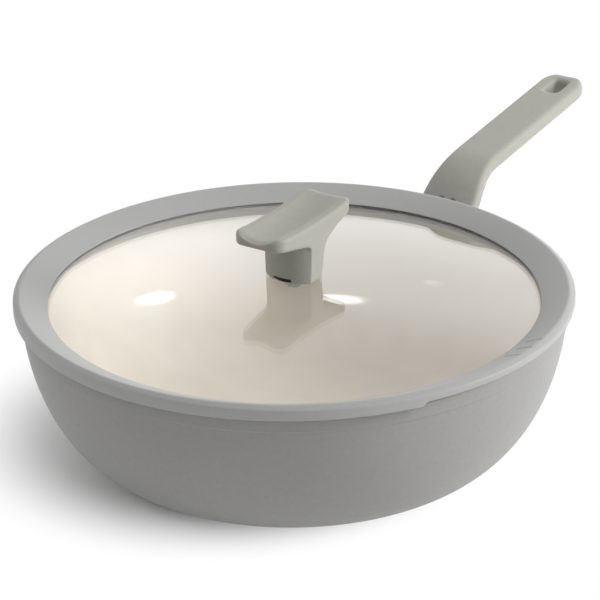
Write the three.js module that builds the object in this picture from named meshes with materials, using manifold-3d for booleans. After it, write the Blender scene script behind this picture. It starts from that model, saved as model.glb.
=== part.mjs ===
// Wok with lid: a deep pressed pan with a moulded handle, under a domed glass lid in a silicone rim.
// Millimetres, +Z up. The origin is the middle of the base on the floor, and the handle points along +X.

import * as THREE from "three";
import { mergeVertices } from "three/addons/utils/BufferGeometryUtils.js";
import Module from "manifold-3d";

const { degToRad, lerp, smoothstep } = THREE.MathUtils;

// Gap kept between pieces that touch
const CLEAR = 0.3;

// Pan
const PAN_RADIUS = 141.4; // outside of the band under the rim
const PAN_HEIGHT = 87.6; // floor to the top of the rim
const BASE_RADIUS = 80.8; // flat of the base
const BAND_HEIGHT = 10.6; // plain band under the rim
const BAND_PROUD = 0.6; // how far the band stands out from the wall
const PAN_WALL = 3;
const PAN_FLOOR = 5;
const WALL_SWELL = 0.94; // how late the wall spreads from the base, 1 for an ellipse
const WALL_ROUND = 0.97; // how late it turns upright, 1 for an ellipse
const WALL_TURN = degToRad(81.3); // how far it turns upright, short of a right angle

// Steel plate in the base
const PLATE_RADIUS = 68;
const PLATE_THICK = 1.2;

// Handle: its top line rises from the wall, bends and runs on as the grip
const ROOT_TOP = 73.65; // height at which the top line leaves the wall
const ROOT_RUN = 29; // from the wall out to the corner of the bend
const ROOT_RISE = degToRad(46.2);
const BEND_RADIUS = 45;
const GRIP_RISE = degToRad(7.3);
const GRIP_RUN = 121; // from the corner of the bend out to the tip
const ROOT_WIDTH = 35.2;
const GRIP_WIDTH = 26.5;
const ROOT_THICK = 28; // height of the root against the wall
const BEND_THICK = 18; // where the bend begins
const BEND_KEEL = 2.5; // how much the belly narrows downwards there, 1 for an ellipse
const GRIP_THICK = 12.3;
const GRIP_EDGE = 3; // round along the edges of the top
const GRIP_SIDE = 3.3; // upright part of the sides
const TIP_ROUND = 10.4; // length of the tip's round corners, along the handle
const TIP_CORNER = 7.5; // and their width
const TIP_EDGE = 2; // round of the top at the tip
const TIP_NOSE = 1.5; // height of the tip's end face, to which the belly rises
const SLOT_LENGTH = 15.6;
const SLOT_WIDTH = 9;
const SLOT_ROUND = 2.4;
const SLOT_INSET = 7; // tip to the end of the hang slot
const RELIEF_WIDTH = 3.1; // two short grooves in the top of the root
const RELIEF_DEPTH = 1.4;
const RELIEF_LENGTH = 29.6; // from the wall, along the tongue
const RELIEF_APART = 7.3;

// Bracket on the wall, and the screw that holds the handle to it
const TONGUE_DEPTH = 10; // from the handle's top line to the middle of the tongue
const TONGUE_LENGTH = 26.4;
const TONGUE_WIDTH = 14;
const TONGUE_THICK = 7.5;
const FOOT_WIDTH = 16;
const FOOT_HEIGHT = 13;
const FOOT_THICK = 3; // beyond the widest part of the wall
const HANDLE_SCREW_ALONG = 15.4; // from the wall, along the tongue
const HANDLE_SCREW_RADIUS = 2.2;
const HANDLE_SCREW_BITE = 7; // into the tongue
const HANDLE_HEAD_RADIUS = 4.6;
const HANDLE_HEAD_THICK = 2.8;
const HANDLE_WASHER_RADIUS = 5;
const HANDLE_WASHER_THICK = 1;
const HANDLE_WEB = 2.2; // handle left between the tongue and the washer

// Lid rim
const LID_OVERHANG = 3.6; // lid's edge beyond the pan's band
const EDGE_RISE = 4.2; // seat on the pan's rim to the lid's top edge
const EDGE_ROUND = 2;
const SKIRT_HEIGHT = 7.05; // from the top edge down
const SKIRT_GAP = 1; // skirt to band
const RING_WIDTH = 17.4; // lid's edge in to the glass
const RING_DROP = 6; // fall of the ring's top towards the glass
const LIP_THICK = 0.9; // lip over the glass
const LIP_EDGE = 0.4; // at its very edge
const LIP_UNDERCUT = 2; // how far in from the edge it comes down to the glass
const LIP_SETBACK = 0.9; // the lip under the glass ends this much further out
const PLUG_GAP = 0.8; // plug to the pan's inner wall
const PLUG_DEPTH = 9.7; // below the seat
const PLUG_CHAMFER = 0.6;

// Drain gap in the skirt, and the slanting grooves in the ring above it
const DRAIN_BEARING = degToRad(-92.25);
const DRAIN_SPAN = degToRad(57.5);
const DRAIN_RISE = 2.2;
const DRAIN_RAMP = degToRad(1.3);
const MARK_COUNT = 3;
const MARK_BEARING = degToRad(-90.5);
const MARK_STEP = degToRad(4.35);
const MARK_LENGTH = 11.6;
const MARK_WIDTH = 1.5;
const MARK_DEPTH = 0.4;
const MARK_INSET = 7.8; // lid's edge to the middle of a groove
const MARK_SLANT = degToRad(-7); // from the radius

// Glass
const GLASS_THICK = 4;
const GLASS_BITE = 4.5; // how far it reaches into the rim
const DOME_RISE = 12.1; // ring's inner edge to the middle
const HOLE_RADIUS = 4;

// Knob: an upright stem under a plate with a trough along it, which curves up to both ends
const KNOB_LENGTH = 69;
const KNOB_WIDTH = 29.6;
const KNOB_HEIGHT = 34.2; // foot to the plate's ends, halfway between the two
const KNOB_RISE = 2; // how much higher the end towards the handle stands
const KNOB_DIP = 1.9; // fall of the plate's rims from the ends to the middle
const TROUGH_WIDTH = 20.8; // trough between the rims
const TROUGH_DEPTH = 3;
const KNOB_END = 6.9; // thickness at the ends
const KNOB_ARCH = 20.4; // foot to the plate's underside beside the stem
const KNOB_CORNER = 7; // corner radius of the plate, seen from above
const KNOB_EDGE = 2.4; // round along the edges of the top
const KNOB_NOSE = 5; // length of the top's round at the ends
const KNOB_FALL = 3; // and its height
const KNOB_UNDER = 2; // and along those of the underside
const STEM_WIDTH = 28.4; // across the stem's two legs at the foot
const STEM_FOOT = 10.4; // thickness of the legs there
const STEM_HEAD = 13; // and where they spread into the plate, towards the handle
const STEM_SPREAD = 10; // height at which they begin to spread
const STEM_FILLET = 2.5; // where their other side meets the plate
const STEM_BARREL = 23.4; // thickness of the stem at its middle
const NOTCH_WIDTH = 10.5; // steam notch in the foot
const NOTCH_HEIGHT = 2.2;
const NOTCH_DEPTH = 6;

// Knob fixing, from the insert in the knob down to the head of the screw
const INSERT_RADIUS = 3.5;
const INSERT_LENGTH = 12;
const KNOB_SCREW_RADIUS = 2.2;
const KNOB_SCREW_BITE = 10; // into the insert
const KNOB_HEAD_RADIUS = 3.8;
const KNOB_HEAD_THICK = 1.8;
const HEAD_CHAMFER = 0.8; // on both screws
const GASKET_RADIUS = 10.6;
const GASKET_THICK = 2;
const GROMMET_RADIUS = 6.4;
const GROMMET_THICK = 0.8;
const KNOB_WASHER_RADIUS = 5.4;
const KNOB_WASHER_THICK = 0.8;

// Facets round the large and the small round pieces, and along the curves
const TURNS = 60;
const SMALL_TURNS = 20;
const WALL_STEPS = 12;
const RIM_STEPS = 6;
const CORNER_STEPS = 3;
const BELLY_STEPS = 8;
const ROOT_STEPS = 4;
const BEND_STEPS = 7;
const GRIP_STEPS = 3;
const TIP_STEPS = 5;
const EDGE_STEPS = 4;
const DRAIN_STEPS = 14;
const DOME_STEPS = 9;
const KNOB_STEPS = 6;
const PLATE_STEPS = 7;
const TROUGH_STEPS = 8;

// Places worked out from the sizes above
const STEP_Z = PAN_HEIGHT - BAND_HEIGHT;
const WALL_RADIUS = PAN_RADIUS - BAND_PROUD;
const WALL_REACH = Math.sin(WALL_TURN);
const WALL_LIFT = 1 - Math.cos(WALL_TURN) ** WALL_ROUND;
const MOUTH_RADIUS = PAN_RADIUS - PAN_WALL;
const SEAT_Z = PAN_HEIGHT + CLEAR;
const EDGE_Z = SEAT_Z + EDGE_RISE;
const SKIRT_Z = EDGE_Z - SKIRT_HEIGHT;
const LIP_Z = EDGE_Z - RING_DROP;
const LID_RADIUS = PAN_RADIUS + LID_OVERHANG;
const SKIRT_RADIUS = PAN_RADIUS + SKIRT_GAP;
const RING_RADIUS = LID_RADIUS - RING_WIDTH;
const RING_SLOPE = Math.atan2(RING_DROP, RING_WIDTH - EDGE_ROUND);
const GLASS_RADIUS = RING_RADIUS + GLASS_BITE;
const DOME_RADIUS = (RING_RADIUS ** 2 + DOME_RISE ** 2) / (2 * DOME_RISE);
const APEX_Z = LIP_Z - LIP_THICK - CLEAR + DOME_RISE;
const KNOB_Z = APEX_Z + CLEAR;
const STEM_TOP = KNOB_ARCH + KNOB_END / 2;
const BEND_TANGENT = BEND_RADIUS * Math.tan((ROOT_RISE - GRIP_RISE) / 2);
const ROOT_LENGTH = ROOT_RUN / Math.cos(ROOT_RISE) - BEND_TANGENT;
const BEND_LENGTH = BEND_RADIUS * (ROOT_RISE - GRIP_RISE);
const GRIP_START = ROOT_LENGTH + BEND_LENGTH;
const HANDLE_LENGTH = GRIP_START + GRIP_RUN / Math.cos(GRIP_RISE) - BEND_TANGENT;
const TIP_BELLY = GRIP_THICK - TIP_EDGE - TIP_NOSE;

const wasm = await Module();
wasm.setup();

// A closed geometry as a solid, for joining and cutting.
function solid(geometry) {
  const bare = new THREE.BufferGeometry();
  bare.setAttribute("position", geometry.getAttribute("position"));
  bare.setIndex(geometry.getIndex());
  const merged = mergeVertices(bare);
  return new wasm.Manifold(
    new wasm.Mesh({
      numProp: 3,
      vertProperties: merged.getAttribute("position").array,
      triVerts: new Uint32Array(merged.getIndex().array),
    }),
  );
}

// A solid back as a geometry with flat faces.
function faceted(made) {
  const { numProp, vertProperties, triVerts } = made.getMesh();
  const indexed = new THREE.BufferGeometry();
  indexed.setAttribute("position", new THREE.BufferAttribute(vertProperties, numProp));
  indexed.setIndex(new THREE.BufferAttribute(triVerts, 1));
  const flat = indexed.toNonIndexed();
  flat.computeVertexNormals();
  return flat;
}

// A profile of [radius, height] points turned about the Z axis.
function turned(profile, turns = TURNS) {
  const points = profile.map(([r, z]) => new THREE.Vector2(r, z));
  return new THREE.LatheGeometry(points, turns).rotateX(Math.PI / 2);
}

// A disc or rod between two heights, and a ring with a bore.
const disc = (radius, low, high, turns) =>
  turned([[0, low], [radius, low], [radius, high], [0, high]], turns);
const ring = (bore, radius, low, high, turns) =>
  turned([[bore, low], [radius, low], [radius, high], [bore, high], [bore, low]], turns);

// Points of an arc in a profile, or of an ellipse where its height differs.
function arc(across, up, radius, from, to, steps, height = radius) {
  return Array.from({ length: steps + 1 }, (_, i) => {
    const angle = lerp(from, to, i / steps);
    return [across + radius * Math.cos(angle), up + height * Math.sin(angle)];
  });
}

// How far a round corner has fallen away, so far from its end.
const roundLoss = (radius, distance) =>
  radius - Math.sqrt(radius ** 2 - Math.max(0, radius - distance) ** 2);

// Steps over a length, without its end, and steps that crowd towards the end of a round.
const spread = (from, to, steps) =>
  Array.from({ length: steps }, (_, i) => lerp(from, to, i / steps));
const crowded = (end, radius, steps) =>
  Array.from(
    { length: steps + 1 },
    (_, i) => end - radius * (1 - Math.sin(((i / steps) * Math.PI) / 2)),
  );

// A skin over rings of as many points each, closed at both ends. Each ring runs anticlockwise as seen
// from the last ring back towards the first.
function loft(rings) {
  const count = rings[0].length;
  const last = (rings.length - 1) * count;
  const index = [];
  for (let j = 0; j < count; j++) {
    const next = (j + 1) % count;
    for (let low = 0; low < last; low += count) {
      const high = low + count;
      index.push(low + j, low + next, high + next, low + j, high + next, high + j);
    }
    index.push(0, next, j, last, last + j, last + next);
  }
  const geometry = new THREE.BufferGeometry().setFromPoints(rings.flat());
  geometry.setIndex(index);
  return geometry;
}

// A box between two corners.
function block(low, high) {
  const size = new THREE.Vector3().subVectors(high, low);
  const middle = new THREE.Vector3().addVectors(low, high).multiplyScalar(0.5);
  return new THREE.BoxGeometry(size.x, size.y, size.z).translate(middle.x, middle.y, middle.z);
}

// A rectangle with round corners about the origin.
function roundedRectangle(length, width, corner) {
  const x = length / 2 - corner;
  const y = width / 2 - corner;
  const outline = new THREE.Shape();
  outline.absarc(x, y, corner, 0, Math.PI / 2, false);
  outline.absarc(-x, y, corner, Math.PI / 2, Math.PI, false);
  outline.absarc(-x, -y, corner, Math.PI, 1.5 * Math.PI, false);
  outline.absarc(x, -y, corner, 1.5 * Math.PI, 2 * Math.PI, false);
  return outline;
}

// The curve of the pan's wall, from its base up to the foot of the band.
function wall(baseZ, baseRadius, topRadius) {
  return Array.from({ length: WALL_STEPS + 1 }, (_, i) => {
    const t = (i / WALL_STEPS) * WALL_TURN;
    return [
      lerp(baseRadius, topRadius, (Math.sin(t) / WALL_REACH) ** WALL_SWELL),
      lerp(baseZ, STEP_Z, (1 - Math.cos(t) ** WALL_ROUND) / WALL_LIFT),
    ];
  });
}

// Radius of the wall's outside at a height.
function wallRadiusAt(z) {
  const t = Math.acos((1 - (WALL_LIFT * z) / STEP_Z) ** (1 / WALL_ROUND));
  return lerp(BASE_RADIUS, WALL_RADIUS, (Math.sin(t) / WALL_REACH) ** WALL_SWELL);
}

// The bowl: flat base with a recess for the plate, swelling wall, band and rounded rim.
function panBody() {
  const recess = PLATE_THICK + CLEAR;
  const half = PAN_WALL / 2;
  return turned([
    [0, recess],
    [PLATE_RADIUS + CLEAR, recess],
    [PLATE_RADIUS + CLEAR, 0],
    ...wall(0, BASE_RADIUS, WALL_RADIUS),
    [PAN_RADIUS, STEP_Z + BAND_PROUD],
    ...arc(PAN_RADIUS - half, PAN_HEIGHT - half, half, 0, Math.PI, RIM_STEPS),
    ...wall(PAN_FLOOR, BASE_RADIUS - PAN_WALL, MOUTH_RADIUS).reverse(),
    [0, PAN_FLOOR],
  ]);
}

const inductionPlate = () => disc(PLATE_RADIUS, 0, PLATE_THICK);

// What the pan fills, with the gap that the pieces on its wall keep.
function panSpace() {
  const skin = wall(0, BASE_RADIUS, WALL_RADIUS).map(([r, z]) => [r + CLEAR, z]);
  return solid(turned([[0, 0], ...skin, [0, STEP_Z]]));
}

// A point of the handle's top line, so far along it from the wall, and its rise there.
function topLineAt(along) {
  const turn = Math.min(Math.max(along - ROOT_LENGTH, 0), BEND_LENGTH) / BEND_RADIUS;
  const rise = ROOT_RISE - turn;
  const rootPart = Math.min(along, ROOT_LENGTH);
  const gripPart = Math.max(along - GRIP_START, 0);
  return {
    rise,
    x:
      wallRadiusAt(ROOT_TOP) +
      rootPart * Math.cos(ROOT_RISE) +
      BEND_RADIUS * (Math.sin(ROOT_RISE) - Math.sin(rise)) +
      gripPart * Math.cos(GRIP_RISE),
    z:
      ROOT_TOP +
      rootPart * Math.sin(ROOT_RISE) +
      BEND_RADIUS * (Math.cos(rise) - Math.cos(ROOT_RISE)) +
      gripPart * Math.sin(GRIP_RISE),
  };
}

// A ring round the handle: flat top with rounded edges, upright sides and a rounded belly. It stands
// upright at the wall, and square to the top line from the bend on. The belly rises to the tip.
function handleRing(along) {
  const { x, z, rise } = topLineAt(along);
  const toTip = HANDLE_LENGTH - along;
  const width = lerp(ROOT_WIDTH, GRIP_WIDTH, smoothstep(along, ROOT_LENGTH / 2, GRIP_START));
  const half = width / 2 - (TIP_CORNER / TIP_ROUND) * roundLoss(TIP_ROUND, toTip);
  const offWall = smoothstep(along, 0, ROOT_LENGTH);
  const bent = smoothstep(along, ROOT_LENGTH, GRIP_START);
  const rootThick = lerp(ROOT_THICK, BEND_THICK, offWall);
  const top = -roundLoss(TIP_EDGE, toTip);
  const thick = lerp(rootThick, GRIP_THICK, bent) - roundLoss(TIP_BELLY, toTip) + top;
  const keel = 1 + (BEND_KEEL - 1) * offWall * (1 - bent);
  const lean = rise * offWall;
  const edge = Math.min(GRIP_EDGE, half, thick / 2);
  const side = Math.min(edge + GRIP_SIDE, thick - TIP_NOSE / 2);
  const belly = arc(0, 0, 1, Math.PI, 2 * Math.PI, BELLY_STEPS);
  const outline = [
    ...arc(half - edge, top - edge, edge, 0, Math.PI / 2, CORNER_STEPS),
    ...arc(edge - half, top - edge, edge, Math.PI / 2, Math.PI, CORNER_STEPS),
    ...belly.map(([y, up]) => [half * y, top - side - (thick - side) * Math.abs(up) ** keel]),
  ];
  return outline.map(
    ([y, up]) => new THREE.Vector3(x - up * Math.sin(lean), y, z + up * Math.cos(lean)),
  );
}

// The handle's skin, from inside the wall to the rounded tip.
function handleSkin() {
  const rings = [
    ...spread(0, ROOT_LENGTH, ROOT_STEPS),
    ...spread(ROOT_LENGTH, GRIP_START, BEND_STEPS),
    ...spread(GRIP_START, HANDLE_LENGTH - TIP_ROUND, GRIP_STEPS),
    ...crowded(HANDLE_LENGTH, TIP_ROUND, TIP_STEPS),
  ].map(handleRing);
  const insideWall = rings[0].map((point) => point.clone().setX(wallRadiusAt(ROOT_TOP) - ROOT_THICK));
  return solid(loft([insideWall, ...rings]));
}

// The frame of the tongue: its origin on the wall, +X out along the handle's root, +Z to the top line.
function tongueFrame() {
  const { x, z } = topLineAt(0);
  const onAxis = x + TONGUE_DEPTH * Math.sin(ROOT_RISE);
  const frame = new THREE.Group();
  frame.position.x = WALL_RADIUS;
  frame.position.z =
    z - TONGUE_DEPTH * Math.cos(ROOT_RISE) - (onAxis - WALL_RADIUS) * Math.tan(ROOT_RISE);
  frame.rotation.y = -ROOT_RISE;
  frame.updateMatrix();
  return frame;
}

// Foot and tongue of the bracket, grown by a gap where the handle is hollowed for them.
function bracketForm(frame, grow) {
  const foot = block(
    new THREE.Vector3(BASE_RADIUS, -FOOT_WIDTH / 2 - grow, frame.position.z - FOOT_HEIGHT / 2 - grow),
    new THREE.Vector3(
      WALL_RADIUS + FOOT_THICK + grow,
      FOOT_WIDTH / 2 + grow,
      frame.position.z + FOOT_HEIGHT / 2 + grow,
    ),
  );
  const tongue = block(
    new THREE.Vector3(-TONGUE_THICK, -TONGUE_WIDTH / 2 - grow, -TONGUE_THICK / 2 - grow),
    new THREE.Vector3(TONGUE_LENGTH + grow, TONGUE_WIDTH / 2 + grow, TONGUE_THICK / 2 + grow),
  ).applyMatrix4(frame.matrix);
  return solid(foot).add(solid(tongue));
}

// Heights on the handle screw's own axis, in the tongue's frame.
const WASHER_SEAT = -TONGUE_THICK / 2 - HANDLE_WEB;
const HANDLE_WASHER_LOW = WASHER_SEAT - CLEAR - HANDLE_WASHER_THICK;
const HANDLE_HEAD_TOP = HANDLE_WASHER_LOW - CLEAR;

// A rod along the handle screw's axis, in the part's frame.
function screwRod(frame, radius, low, high) {
  const rod = disc(radius, low, high, SMALL_TURNS).translate(HANDLE_SCREW_ALONG, 0, 0);
  return solid(rod.applyMatrix4(frame.matrix));
}

// Welded bracket with the hole that takes the handle screw.
function handleBracket(frame) {
  const hole = screwRod(frame, HANDLE_SCREW_RADIUS + CLEAR, -TONGUE_THICK, TONGUE_THICK);
  return faceted(bracketForm(frame, 0).subtract(panSpace()).subtract(hole));
}

// Moulded handle, hollowed for the bracket and the screw, with its hang slot and two short grooves.
function handle(frame) {
  const middle = topLineAt(HANDLE_LENGTH - SLOT_INSET - SLOT_LENGTH / 2);
  const slot = new THREE.ExtrudeGeometry(roundedRectangle(SLOT_LENGTH, SLOT_WIDTH, SLOT_ROUND), {
    depth: 3 * GRIP_THICK,
    bevelEnabled: false,
    curveSegments: CORNER_STEPS,
  });
  slot.translate(0, 0, -2 * GRIP_THICK).rotateY(-GRIP_RISE).translate(middle.x, 0, middle.z);
  const reliefs = [-1, 1].map((hand) => {
    const y = (hand * RELIEF_APART) / 2;
    const groove = block(
      new THREE.Vector3(0, y - RELIEF_WIDTH / 2, TONGUE_DEPTH - RELIEF_DEPTH),
      new THREE.Vector3(RELIEF_LENGTH, y + RELIEF_WIDTH / 2, TONGUE_DEPTH + RELIEF_DEPTH),
    );
    return solid(groove.applyMatrix4(frame.matrix));
  });
  const bore = screwRod(frame, HANDLE_SCREW_RADIUS + CLEAR, -ROOT_THICK, 0);
  const counterbore = screwRod(frame, HANDLE_WASHER_RADIUS + CLEAR, -ROOT_THICK, WASHER_SEAT);
  const cuts = [panSpace(), bracketForm(frame, CLEAR), solid(slot), ...reliefs, bore, counterbore];
  return faceted(cuts.reduce((body, cut) => body.subtract(cut), handleSkin()));
}

const handleWasher = () =>
  ring(
    HANDLE_SCREW_RADIUS + CLEAR,
    HANDLE_WASHER_RADIUS,
    HANDLE_WASHER_LOW,
    WASHER_SEAT - CLEAR,
    SMALL_TURNS,
  );

// A screw with its chamfered head downwards.
function screw(shankRadius, headRadius, headThick, headTop, tip) {
  const low = headTop - headThick;
  return turned(
    [
      [0, low],
      [headRadius - HEAD_CHAMFER, low],
      [headRadius, low + HEAD_CHAMFER],
      [headRadius, headTop],
      [shankRadius, headTop],
      [shankRadius, tip],
      [0, tip],
    ],
    SMALL_TURNS,
  );
}

const handleScrew = () =>
  screw(
    HANDLE_SCREW_RADIUS,
    HANDLE_HEAD_RADIUS,
    HANDLE_HEAD_THICK,
    HANDLE_HEAD_TOP,
    HANDLE_SCREW_BITE - TONGUE_THICK / 2,
  );

// Height of the dome at a radius, or of a surface so far above it.
const domeZ = (r, above = 0) => APEX_Z - DOME_RADIUS + Math.sqrt((DOME_RADIUS + above) ** 2 - r ** 2);

// The rounded top edge of the lid, from the skirt over to the sloping ring.
const lidEdge = () =>
  arc(
    LID_RADIUS - EDGE_ROUND,
    EDGE_Z - EDGE_ROUND,
    EDGE_ROUND,
    0,
    Math.PI / 2 + RING_SLOPE,
    EDGE_STEPS,
  );

// Silicone ring: plug, seat, skirt, sloping top and the groove that holds the glass.
function lidRim() {
  const plugRadius = MOUTH_RADIUS - PLUG_GAP;
  const plugInner = RING_RADIUS + LIP_SETBACK;
  const plugLow = SEAT_Z - PLUG_DEPTH;
  const undercut = RING_RADIUS + LIP_UNDERCUT;
  const groove = GLASS_RADIUS + CLEAR;
  const under = -GLASS_THICK - CLEAR;
  const start = [plugInner, plugLow];
  const whole = turned([
    start,
    [plugRadius - PLUG_CHAMFER, plugLow],
    [plugRadius, plugLow + PLUG_CHAMFER],
    [plugRadius, SEAT_Z],
    [SKIRT_RADIUS, SEAT_Z],
    [SKIRT_RADIUS, SKIRT_Z],
    [LID_RADIUS, SKIRT_Z],
    ...lidEdge(),
    [RING_RADIUS, LIP_Z],
    [RING_RADIUS, LIP_Z - LIP_EDGE],
    [undercut, domeZ(undercut, CLEAR)],
    [groove, domeZ(groove, CLEAR)],
    [groove, domeZ(groove, under)],
    [plugInner, domeZ(plugInner, under)],
    start,
  ]);
  const cuts = [drainGap(), ...marks()];
  return faceted(cuts.reduce((body, cut) => body.subtract(cut), solid(whole)));
}

// The stretch of the skirt that is left out for draining, with a ramp at each end.
function drainGap() {
  const inner = SKIRT_RADIUS - SKIRT_GAP / 2;
  const outer = LID_RADIUS + EDGE_ROUND;
  const low = SKIRT_Z - DRAIN_RISE;
  const stretch = Array.from({ length: DRAIN_STEPS + 1 }, (_, i) => [
    lerp(DRAIN_RAMP, DRAIN_SPAN - DRAIN_RAMP, i / DRAIN_STEPS),
    SKIRT_Z + DRAIN_RISE,
  ]);
  const sections = [[0, SKIRT_Z - CLEAR], ...stretch, [DRAIN_SPAN, SKIRT_Z - CLEAR]];
  const rings = sections.map(([inset, high]) => {
    const bearing = DRAIN_BEARING - DRAIN_SPAN / 2 + inset;
    const outline = [[inner, low], [inner, high], [outer, high], [outer, low]];
    return outline.map(
      ([r, z]) => new THREE.Vector3(r * Math.cos(bearing), r * Math.sin(bearing), z),
    );
  });
  return solid(loft(rings));
}

// Cutters for the slanting grooves in the ring's top.
function marks() {
  const radius = LID_RADIUS - MARK_INSET;
  const height = LIP_Z + (radius - RING_RADIUS) * Math.tan(RING_SLOPE);
  return Array.from({ length: MARK_COUNT }, (_, i) => {
    const groove = new THREE.BoxGeometry(MARK_LENGTH, MARK_WIDTH, 2 * MARK_DEPTH);
    groove.rotateZ(MARK_SLANT).rotateY(-RING_SLOPE).translate(radius, 0, height);
    return solid(groove.rotateZ(MARK_BEARING + (i - (MARK_COUNT - 1) / 2) * MARK_STEP));
  });
}

// Domed glass with its screw hole.
function lidGlass() {
  const radii = Array.from({ length: DOME_STEPS + 1 }, (_, i) =>
    lerp(HOLE_RADIUS, GLASS_RADIUS, i / DOME_STEPS),
  );
  const under = radii.map((r) => [r, domeZ(r, -GLASS_THICK)]);
  const over = radii.map((r) => [r, domeZ(r)]).reverse();
  return turned([...under, ...over, under[0]]);
}

// A ring round the knob's plate, square to its length: flat rims with rounded edges, and the trough
// between them.
function plateRing(x) {
  const half = KNOB_LENGTH / 2;
  const toEnd = half - Math.abs(x);
  const tilt = (KNOB_RISE * x) / KNOB_LENGTH;
  const beyondStem = Math.max(0, Math.abs(x) - STEM_HEAD / 2) / (half - STEM_HEAD / 2);
  const side = KNOB_WIDTH / 2 - roundLoss(KNOB_CORNER, toEnd);
  const dip = KNOB_DIP * (1 - (x / half) ** 2);
  const fall = (KNOB_FALL / KNOB_NOSE) * roundLoss(KNOB_NOSE, toEnd);
  const top = KNOB_HEIGHT + tilt - dip - fall;
  const tipLow = KNOB_HEIGHT + tilt - KNOB_END;
  const low = lerp(KNOB_ARCH, tipLow, beyondStem) + roundLoss(KNOB_UNDER, toEnd);
  const edge = Math.min(KNOB_EDGE, (top - low) / 2);
  const under = Math.min(KNOB_UNDER, (top - low) / 3);
  const rim = side - edge;
  const inner = Math.min(TROUGH_WIDTH / 2, rim - CLEAR);
  const depth = Math.min(TROUGH_DEPTH, (top - low) / 2);
  const trough = Array.from({ length: TROUGH_STEPS + 1 }, (_, i) => {
    const across = lerp(1, -1, i / TROUGH_STEPS);
    return [inner * across, top - depth * (1 - across ** 2)];
  });
  const outline = [
    ...arc(side - under, low + under, under, -Math.PI / 2, 0, CORNER_STEPS),
    ...arc(rim, top - edge, edge, 0, Math.PI / 2, CORNER_STEPS),
    ...trough,
    ...arc(-rim, top - edge, edge, Math.PI / 2, Math.PI, CORNER_STEPS),
    ...arc(under - side, low + under, under, Math.PI, 1.5 * Math.PI, CORNER_STEPS),
  ];
  return outline.map(([y, z]) => new THREE.Vector3(x, y, z));
}

// The knob's plate, rounded off at both ends.
function knobPlate() {
  const flat = KNOB_LENGTH / 2 - KNOB_CORNER;
  const end = crowded(KNOB_LENGTH / 2, KNOB_CORNER, CORNER_STEPS);
  const places = [...end.map((x) => -x).reverse(), ...spread(-flat, flat, PLATE_STEPS).slice(1), ...end];
  return solid(loft(places.map(plateRing)));
}

// Side view of the stem's legs: upright on one side, and spreading into the plate towards the handle.
function legsOutline() {
  const foot = STEM_FOOT / 2;
  const head = STEM_HEAD / 2;
  const spreadRun = KNOB_ARCH - STEM_SPREAD;
  const beyondStem = spreadRun / (KNOB_LENGTH / 2 - head);
  const spreadZ = lerp(KNOB_ARCH, KNOB_HEIGHT - KNOB_END, beyondStem);
  const outline = new THREE.Shape();
  outline.moveTo(-foot, 0);
  outline.lineTo(foot, 0);
  outline.lineTo(head, STEM_SPREAD);
  outline.quadraticCurveTo(head, KNOB_ARCH, head + spreadRun, spreadZ);
  outline.lineTo(head + spreadRun, STEM_TOP);
  outline.lineTo(-foot - STEM_FILLET, STEM_TOP);
  outline.lineTo(-foot - STEM_FILLET, KNOB_ARCH + CLEAR);
  outline.quadraticCurveTo(-foot, KNOB_ARCH, -foot, KNOB_ARCH - STEM_FILLET);
  return outline;
}

// The stem's middle, seen from above: it swells between the two legs.
function barrelOutline() {
  const leg = STEM_FOOT / 2;
  const side = STEM_WIDTH / 2;
  const swell = STEM_BARREL - leg;
  const outline = new THREE.Shape();
  outline.moveTo(leg, -side);
  outline.quadraticCurveTo(swell, 0, leg, side);
  outline.lineTo(-leg, side);
  outline.quadraticCurveTo(-swell, 0, -leg, -side);
  return outline;
}

// A solid raised from an outline to a height.
const raised = (outline, depth) =>
  new THREE.ExtrudeGeometry(outline, { depth, bevelEnabled: false, curveSegments: KNOB_STEPS });

// The stem's legs, which widen from the foot up to the plate's full width.
function stemLegs() {
  const form = raised(legsOutline(), KNOB_WIDTH).rotateX(Math.PI / 2).translate(0, KNOB_WIDTH / 2, 0);
  const points = form.getAttribute("position");
  for (let i = 0; i < points.count; i++) {
    const up = Math.min(points.getZ(i) / KNOB_ARCH, 1);
    points.setY(i, points.getY(i) * lerp(STEM_WIDTH / KNOB_WIDTH, 1, up));
  }
  return solid(form);
}

// Moulded knob, made with its foot at zero: plate, legs, barrel and the hollows in its foot.
function knob() {
  const barrel = raised(barrelOutline(), STEM_TOP);
  const face = STEM_BARREL / 2;
  const notch = block(
    new THREE.Vector3(-face - NOTCH_DEPTH, -NOTCH_WIDTH / 2, -NOTCH_HEIGHT),
    new THREE.Vector3(NOTCH_DEPTH - face, NOTCH_WIDTH / 2, NOTCH_HEIGHT),
  );
  const pocket = disc(GASKET_RADIUS + CLEAR, -GASKET_THICK, GASKET_THICK + CLEAR, SMALL_TURNS);
  const bore = disc(INSERT_RADIUS + CLEAR, 0, INSERT_LOW + INSERT_LENGTH + CLEAR, SMALL_TURNS);
  const body = knobPlate().add(stemLegs()).add(solid(barrel));
  const cuts = [solid(notch), solid(pocket), solid(bore)];
  return faceted(cuts.reduce((left, cut) => left.subtract(cut), body));
}

// Heights of the knob's fixing: insert and gasket above the knob's foot, the rest under the glass.
const INSERT_LOW = GASKET_THICK + 2 * CLEAR;
const GROMMET_TOP = domeZ(GROMMET_RADIUS, -GLASS_THICK) - CLEAR;
const GROMMET_LOW = GROMMET_TOP - GROMMET_THICK;
const KNOB_WASHER_LOW = GROMMET_LOW - CLEAR - KNOB_WASHER_THICK;
const FIXING_BORE = KNOB_SCREW_RADIUS + CLEAR;

const knobInsert = () =>
  ring(FIXING_BORE, INSERT_RADIUS, INSERT_LOW, INSERT_LOW + INSERT_LENGTH, SMALL_TURNS);
const knobGasket = () => ring(FIXING_BORE, GASKET_RADIUS, 0, GASKET_THICK, SMALL_TURNS);

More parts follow.
